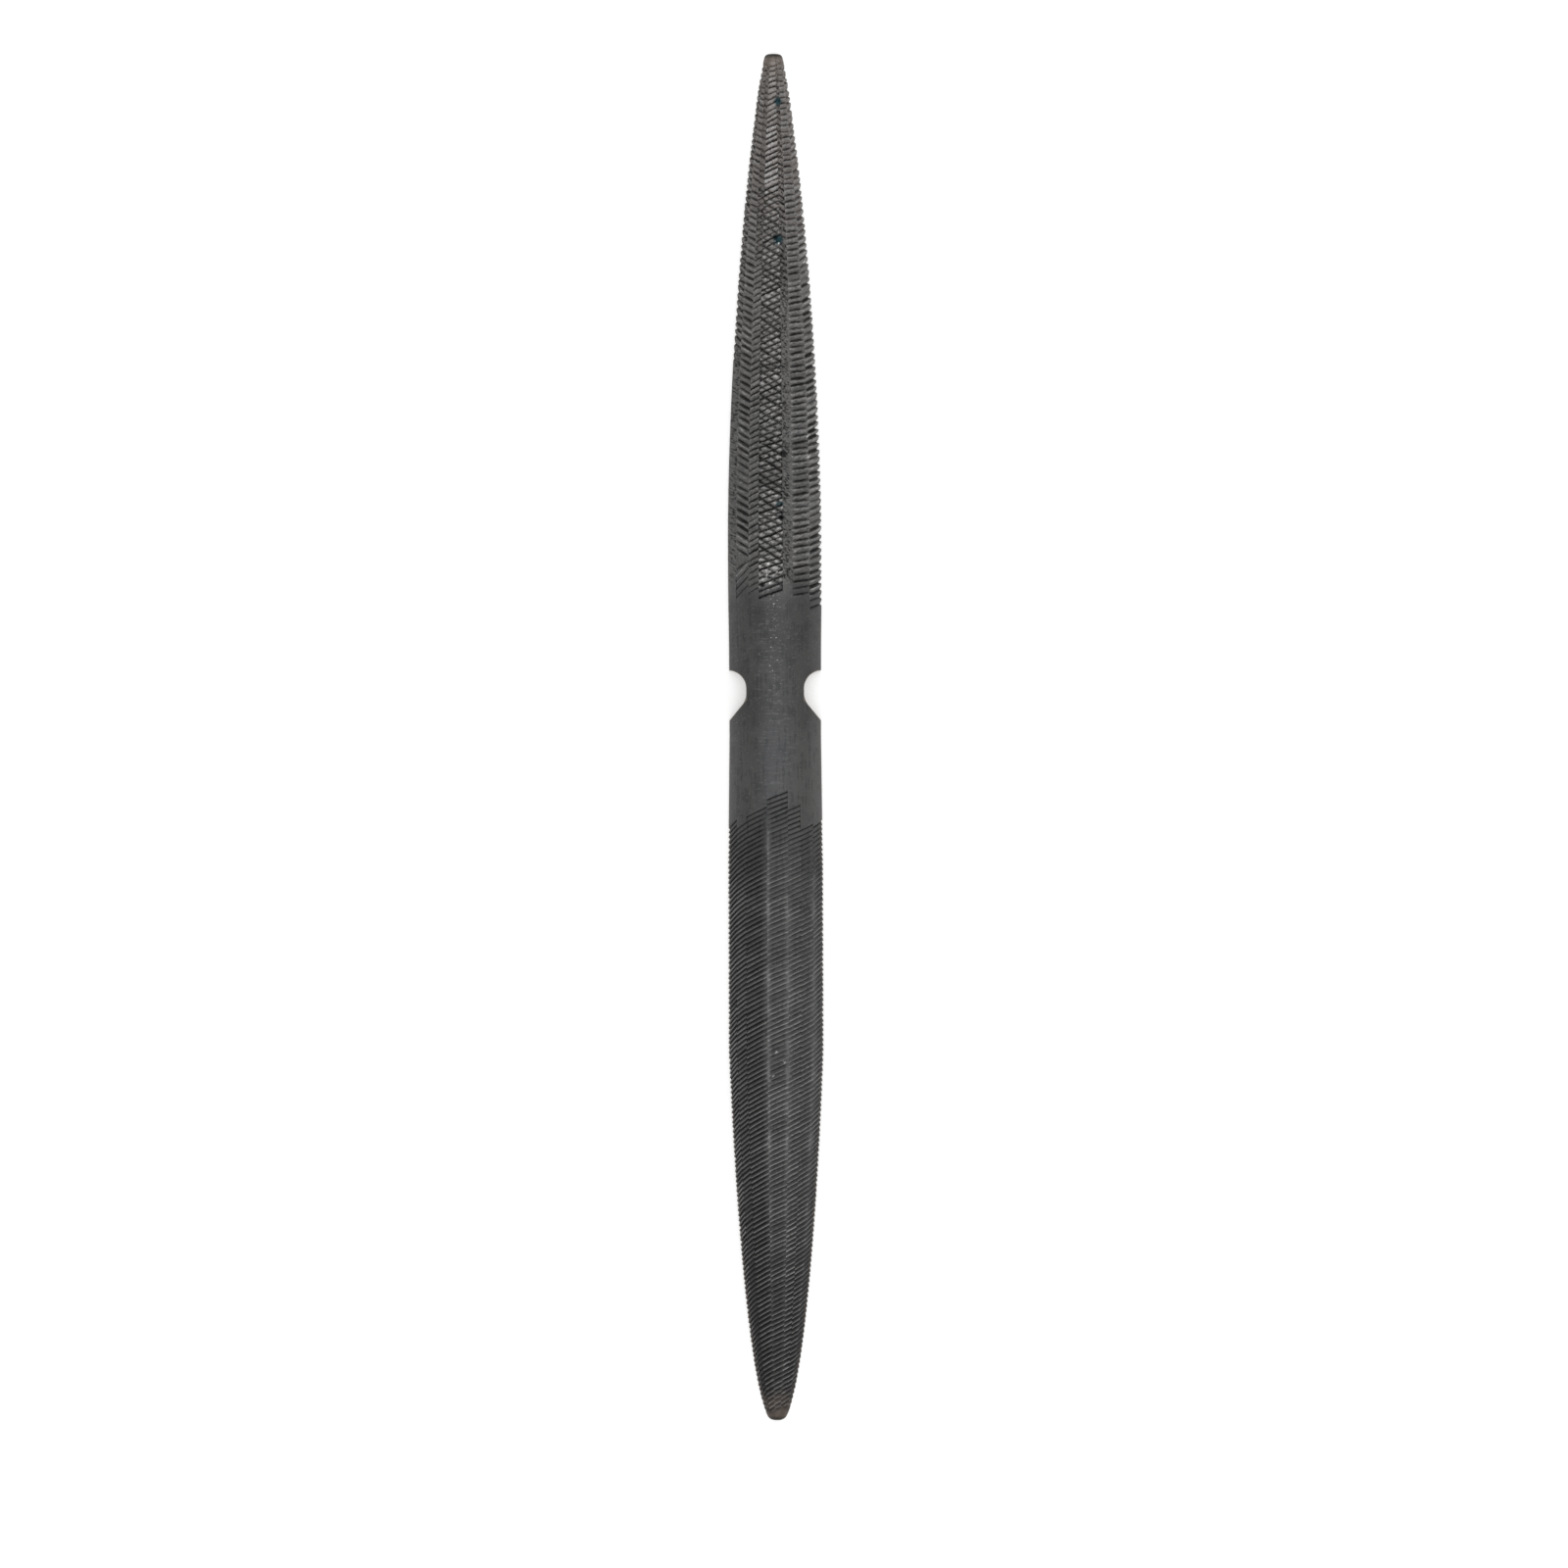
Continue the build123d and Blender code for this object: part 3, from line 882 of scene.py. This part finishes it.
# Figures made from those and from the place on the bar, in metres: (name, operation, its terms),
# or (name, value, low, high, least, most) for a value's eased way from low to high as a number
# from least to most.
STEEL_FIGURES = (
    ("aside", "ABSOLUTE", "x"),
    ("along", "ABSOLUTE", "y"),
    # skin
    ("clouded", "clouds", 0.3, 0.7, 0, 1),
    ("grime", "MULTIPLY", "blotches", "drawn"),
    ("grimed", "grime", 0.24, 0.36, 0, 0.38),
    ("glint", "MULTIPLY", "grain", "ground"),
    ("glinting", "glint", 0.26, 0.42, 0, 0.55),
    # the waist: a cooler lower half, and its flanks painted paler as a reflection of the light
    ("below", "y", 0.004, 0, 0, 0.25),
    ("above", "y", -0.02, -0.01, 0, 1),
    ("cooled", "MULTIPLY", "below", "above"),
    ("flank_sheen", "aside", 0.0015, 0.004, 0, 1),
    ("lowered", "y", 0.006, -0.002, 0.17, 0.36),
    ("topped", "y", 0.022, 0.018, 0, 1),
    ("waist", "MULTIPLY", "topped", "above"),
    ("flanked", "MULTIPLY", "flank_sheen", "lowered"),
    ("leftward", "x", -0.0035, -0.006, 1, 0.4),
    ("one_sided", "MULTIPLY", "flanked", "leftward"),
    ("painted_flank_sheen", "MULTIPLY", "one_sided", "waist"),
    # both ends
    ("coarse", "y", 0.019, 0.026, 0, 0.55),
    ("pitted", "grain", 0.5, 0.4, 0, 0.75),
    ("speckled", "MULTIPLY", "coarse", "pitted"),
    ("coarse_tip", "y", 0.045, 0.1, 0, 0.55),
    ("fine_tip", "y", -0.045, -0.09, 0, 0.62),
    # painted shade and soot in the cuts, and rubbed crests painted with a highlight
    ("soot_and_shade_cover", "soot_and_shade", 0.5, 1, 0, 0.88),
    ("crest_wear_and_highlight", "worn_and_highlit", 0.3, 1, 0, 1),
    ("patchy", "grain", 0.3, 0.6, 0.45, 1),
    ("rubbed_and_highlit", "MULTIPLY", "crest_wear_and_highlight", "patchy"),
    # rust bloom: the last mm of the tips, and the low edges, most on the fine end
    ("tips", "along", 0.098, 0.103, 0, 0.6),
    ("edges", "up", 0.0009, 0.0002, 0, 0.45),
    ("lower_half", "y", 0.012, -0.02, 0.5, 1),
    ("low_edges", "MULTIPLY", "edges", "lower_half"),
    ("bloom", "MAXIMUM", "tips", "low_edges"),
    ("blotched", "blotches", 0.35, 0.62, 0.35, 1),
    ("rusted", "MULTIPLY", "bloom", "blotched"),
    # the last half mm of each end, darker
    ("rimmed", "along", 0.1027, 0.1033, 0, 0.85),
    # bare metal on the ground walls of the notches: a fillet round a pin, and a ramp
    ("from_pin", "SUBTRACT", "aside", 0.00717),
    ("past_pin", "SUBTRACT", "y", 0.0073),
    ("above_pin", "MAXIMUM", "past_pin", 0),
    ("squared", "MULTIPLY", "above_pin", "above_pin"),
    ("both_squared", "MULTIPLY_ADD", "from_pin", "from_pin", "squared"),
    ("pin", "SQRT", "both_squared"),
    ("off_pin", "SUBTRACT", "pin", 0.0028),
    ("down_ramp", "MULTIPLY_ADD", "aside", -0.768, 0.00694),
    ("off_ramp", "MULTIPLY_ADD", "y", -0.64, "down_ramp"),
    ("off_notch", "MAXIMUM", "off_pin", "off_ramp"),
    ("wall", "off_notch", 0.00016, 0.00002, 0, 1),
    ("scoured", "blotches", 0.3, 0.55, 0.45, 0.75),
    ("bared", "MULTIPLY", "wall", "scoured"),
    # nicks on the crest of the waist, and painted glints on them and on rubbed teeth
    ("ridge", "aside", 0.0016, 0.0002, 0, 0.4),
    ("upper", "y", 0.002, 0.006, 0, 1),
    ("upper_ridge", "MULTIPLY", "ridge", "upper"),
    ("chattered", "chatter", 0.64, 0.72, 0, 1),
    ("nicked", "MULTIPLY", "upper_ridge", "chattered"),
    ("glint_points", "worn_and_highlit", 1.3, 2.0, 0, 1),
    ("painted_glints", "MAXIMUM", "glint_points", "nicked"),
    # roughness and relief
    ("matted", "clouds", 0.3, 0.7, 0.44, 0.54),
    ("dusted", "soot_and_shade", 0, 1, 0, 0.2),
    ("polished", "worn_and_highlit", 0.4, 1, 0, 0.12),
    ("dull", "ADD", "matted", "dusted"),
    ("sheen", "SUBTRACT", "dull", "polished"),
    ("marks", "ADD", "ground", "drawn"),
    ("relief", "ADD", "grain", "marks"),
)
# The colours laid over the dark oxide, one over the other, each as far as its figure says.
STEEL_LAYERS = (
    ("oxide", "clouded"), ("cool", "cooled"), ("flank_sheen", "painted_flank_sheen"), ("grime", "grimed"),
    ("glint", "glinting"), ("coarse", "coarse"), ("coarse_tip", "coarse_tip"),
    ("grime", "speckled"), ("fine_tip", "fine_tip"), ("soot_and_shade", "soot_and_shade_cover"), ("rubbed_and_highlit", "rubbed_and_highlit"),
    ("rust", "rusted"), ("rim", "rimmed"), ("bare", "bared"), ("wax", "wax"),
    ("painted_glint", "painted_glints"),
)
# How strong the relief of the steel is, and how high, in mm. Then the angle in degrees past which
# an edge is shaded sharp.
RELIEF_STRENGTH, RELIEF_HEIGHT, SHARP_PAST = 0.35, 0.02, 24


class WAXFILE_OT_blacken(bpy.types.Operator):
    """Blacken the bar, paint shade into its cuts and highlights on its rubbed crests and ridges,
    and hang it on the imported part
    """

    bl_idname = "waxfile.blacken"
    bl_label = "Blacken"

    def execute(self, context):
        bar = the_bar()
        bar.data.materials.clear()
        bar.data.materials.append(self.blackened_steel(context.scene.file_finish))
        alone(bar)
        bpy.ops.object.shade_smooth_by_angle(angle=math.radians(SHARP_PAST))
        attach(bar, "root")
        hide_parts("file_blade")
        return {"FINISHED"}

    def blackened_steel(self, colours):
        """Hardened carbon steel with a thin dark oxide skin from its heat treatment: a soft grey
        sheen, near black in the cuts with painted shade and soot, paler where crests and ridges
        have rubbed and are painted as highlights, paler flanks as a painted reflection, painted
        glints, and brown at the tips."""
        steel = bpy.data.materials.new("blackened_steel")
        tree = blank_tree(steel)
        place = node(tree, "ShaderNodeTexCoord").outputs["Object"]
        axes = node(tree, "ShaderNodeSeparateXYZ", [(0, place)]).outputs
        made = {"x": axes["X"], "y": axes["Y"], "up": axes["Z"]}
        for name in ("worn_and_highlit", "soot_and_shade", "wax"):
            made[name] = node(tree, "ShaderNodeAttribute", attribute_name=name).outputs["Fac"]
        for name, size, detail, roughness, stretch in STEEL_NOISES:
            drawn_out = node(tree, "ShaderNodeMapping", [
                ("Vector", place), ("Scale", [1 / s for s in stretch])]).outputs["Vector"]
            made[name] = node(tree, "ShaderNodeTexNoise", [
                ("Vector", drawn_out), ("Scale", 1 / (size * MM)), ("Detail", detail),
                ("Roughness", roughness)]).outputs["Fac"]

        for name, *recipe in STEEL_FIGURES:
            if recipe[0] in made:
                value, low, high, least, most = recipe
                made[name] = node(tree, "ShaderNodeMapRange", [
                    ("Value", made[value]), ("From Min", low), ("From Max", high),
                    ("To Min", least), ("To Max", most)],
                    interpolation_type="SMOOTHSTEP").outputs["Result"]
            else:
                operation, *terms = recipe
                made[name] = node(tree, "ShaderNodeMath", [
                    (number, made.get(term, term)) for number, term in enumerate(terms)],
                    operation=operation).outputs["Value"]

        skin = linear(colours.oxide_dark)
        for colour, cover in STEEL_LAYERS:
            skin = node(tree, "ShaderNodeMix", [
                ("Factor", made[cover]), ("A", skin), ("B", linear(getattr(colours, colour)))],
                data_type="RGBA").outputs["Result"]
        bump = node(tree, "ShaderNodeBump", [
            ("Height", made["relief"]), ("Strength", RELIEF_STRENGTH),
            ("Distance", RELIEF_HEIGHT * MM)]).outputs["Normal"]
        shader = node(tree, "ShaderNodeBsdfPrincipled", [
            ("Base Color", skin), ("Metallic", 1.0), ("Roughness", made["sheen"]),
            ("Normal", bump)])
        node(tree, "ShaderNodeOutputMaterial", [("Surface", shader.outputs["BSDF"])])
        return steel


# ---- the studio

# In metres: the floor's size and how far it lies under the file, and the height at which the
# picture is as wide as it says. The camera's sensor is in mm.
FLOOR_SIZE, FLOOR_GAP, PICTURE_HEIGHT, SENSOR = 40.0, 0.05 * MM, 0.002, 36.0
# Where the camera stands, and by how many degrees it is turned, as in the photograph.
CAMERA_X, CAMERA_Y, CAMERA_TURN = 0.0013, -0.00712, -0.16
# The soft boxes: place and size.
OVERHEAD_BOX, SIDE_BOX = ((0.05, -0.1, 1.3), 1.6), ((0.9, 0.6, 0.8), 0.5)
# The paper's colour, and how far it is lifted to plain white for the camera.
PAPER, PAPER_LIFT = "#f4f4f4", 0.2


class WAXFILE_OT_set_studio(bpy.types.Operator):
    """Lay the pale floor, hang the soft boxes and set the camera straight above the file"""

    bl_idname = "waxfile.set_studio"
    bl_label = "Set Studio"

    def execute(self, context):
        studio = context.scene.file_studio
        bpy.ops.mesh.primitive_plane_add(size=FLOOR_SIZE, location=(0, 0, -FLOOR_GAP))
        floor = context.object
        floor.name = floor.data.name = "studio_floor"
        floor.data.materials.append(self.pale_floor())
        self.soft_box("overhead_soft_box", *OVERHEAD_BOX, studio.key_power)
        self.soft_box("side_soft_box", *SIDE_BOX, studio.fill_power)

        room = bpy.data.worlds.new("studio_room")
        context.scene.world = room
        tree = blank_tree(room)
        glow = node(tree, "ShaderNodeBackground", [
            ("Color", (1, 1, 1, 1)), ("Strength", studio.world_strength)])
        node(tree, "ShaderNodeOutputWorld", [("Surface", glow.outputs["Background"])])

        bpy.ops.object.camera_add(
            location=(CAMERA_X, CAMERA_Y, studio.camera_height),
            rotation=(0, 0, math.radians(CAMERA_TURN)))
        camera = context.object
        camera.name = "studio_camera"
        camera.data.sensor_width = SENSOR
        camera.data.lens = SENSOR * (studio.camera_height - PICTURE_HEIGHT) / studio.frame_width
        camera.data.clip_start, camera.data.clip_end = 0.01, 50.0
        context.scene.camera = camera
        context.scene.view_settings.view_transform = "Standard"
        return {"FINISHED"}

    def soft_box(self, name, place, size, power):
        bpy.ops.object.light_add(type="AREA", location=place)
        lamp = bpy.context.object
        lamp.name = name
        lamp.data.shape, lamp.data.size, lamp.data.energy = "SQUARE", size, power
        lamp.rotation_euler = (-Vector(place)).to_track_quat("-Z", "Y").to_euler()

    def pale_floor(self):
        """White paper, seen as plain white by the camera, but still darker under the file."""
        paper = bpy.data.materials.new("white_paper")
        tree = blank_tree(paper)
        matte = node(tree, "ShaderNodeBsdfDiffuse", [("Color", linear(PAPER))])
        ray = node(tree, "ShaderNodeLightPath")
        mirrored = node(tree, "ShaderNodeMath", [
            (0, ray.outputs["Is Glossy Ray"]), (1, ray.outputs["Is Transmission Ray"])])
        seen = node(tree, "ShaderNodeMath", [
            (0, ray.outputs["Is Camera Ray"]), (1, mirrored.outputs["Value"])])
        lift = node(tree, "ShaderNodeMath", [(0, seen.outputs["Value"]), (1, PAPER_LIFT)],
                    operation="MULTIPLY")
        glow = node(tree, "ShaderNodeEmission", [("Strength", lift.outputs["Value"])])
        both = node(tree, "ShaderNodeAddShader", [
            (0, matte.outputs["BSDF"]), (1, glow.outputs["Emission"])])
        node(tree, "ShaderNodeOutputMaterial", [("Surface", both.outputs["Shader"])])
        return paper


# ---- the add-on

class WAXFILE_PT_bench(bpy.types.Panel):
    """The steps of making the file"""

    bl_idname = "WAXFILE_PT_bench"
    bl_label = "Wax File"
    bl_space_type = "VIEW_3D"
    bl_region_type = "UI"
    bl_category = "Wax File"

    def draw(self, context):
        for group in (getattr(context.scene, name) for name in GROUPS):
            column = self.layout.column(align=True)
            for name in group.__annotations__:
                column.prop(group, name)
        for step in STEPS:
            self.layout.operator(step.bl_idname)


GROUPS = {"file_bar": BarSizes, "file_teeth": ToothSizes,
          "file_finish": FinishColours, "file_studio": StudioSettings}
STEPS = (WAXFILE_OT_cut_bar, WAXFILE_OT_grind_notches, WAXFILE_OT_blacken, WAXFILE_OT_set_studio)
CLASSES = (*GROUPS.values(), *STEPS, WAXFILE_PT_bench)


def register():
    for each in CLASSES:
        bpy.utils.register_class(each)
    for name, group in GROUPS.items():
        setattr(bpy.types.Scene, name, bpy.props.PointerProperty(type=group))


def unregister():
    for name in GROUPS:
        delattr(bpy.types.Scene, name)
    for each in reversed(CLASSES):
        bpy.utils.unregister_class(each)


def main():
    register()
    bpy.ops.waxfile.cut_bar()
    bpy.ops.waxfile.grind_notches()
    bpy.ops.waxfile.blacken()
    bpy.ops.waxfile.set_studio()


if __name__ == "__main__":
    main()
